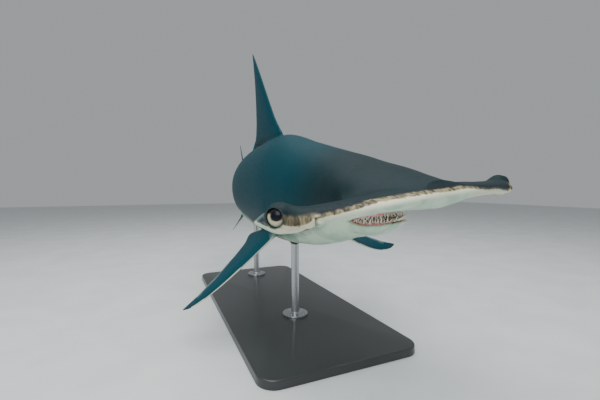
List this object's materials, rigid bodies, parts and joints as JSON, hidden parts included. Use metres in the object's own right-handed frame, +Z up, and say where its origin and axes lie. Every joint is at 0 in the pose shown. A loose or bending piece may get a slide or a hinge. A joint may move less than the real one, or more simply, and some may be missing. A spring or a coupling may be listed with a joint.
{
  "type": "great hammerhead shark display model",
  "caption": "Life-size still model of a great hammerhead shark, banking with its tail swung to one side, on a flat base with two rods.",
  "frame": {"origin": "middle of the stand base's underside", "axes": "+Z up, +Y from the head toward the tail, +X to the shark's left"},
  "size_m": [1.1074, 3.1806, 1.3727],
  "materials": {
    "skin": "satin, finely scaled",
    "eye": "gloss",
    "teeth": "gloss",
    "gums": "wet gloss",
    "stand_lacquer": "satin",
    "stand_steel": "brushed"
  },
  "bodies": {
    "root": {"head": "skin", "head_wing_left": "skin", "head_wing_right": "skin", "neck": "skin", "torso": "skin", "tail_stock": "skin", "caudal_fin_upper": "skin", "caudal_fin_lower": "skin", "dorsal_fin_first": "skin", "dorsal_fin_second": "skin", "anal_fin": "skin", "pectoral_fin_left": "skin", "pectoral_fin_right": "skin", "pelvic_fin_left": "skin", "pelvic_fin_right": "skin", "lower_jaw": "skin", "eye_left": "eye", "eye_right": "eye", "stand_base": "stand_lacquer", "stand_rod_front": "stand_steel", "stand_rod_rear": "stand_steel"}
  },
  "joints": []
}
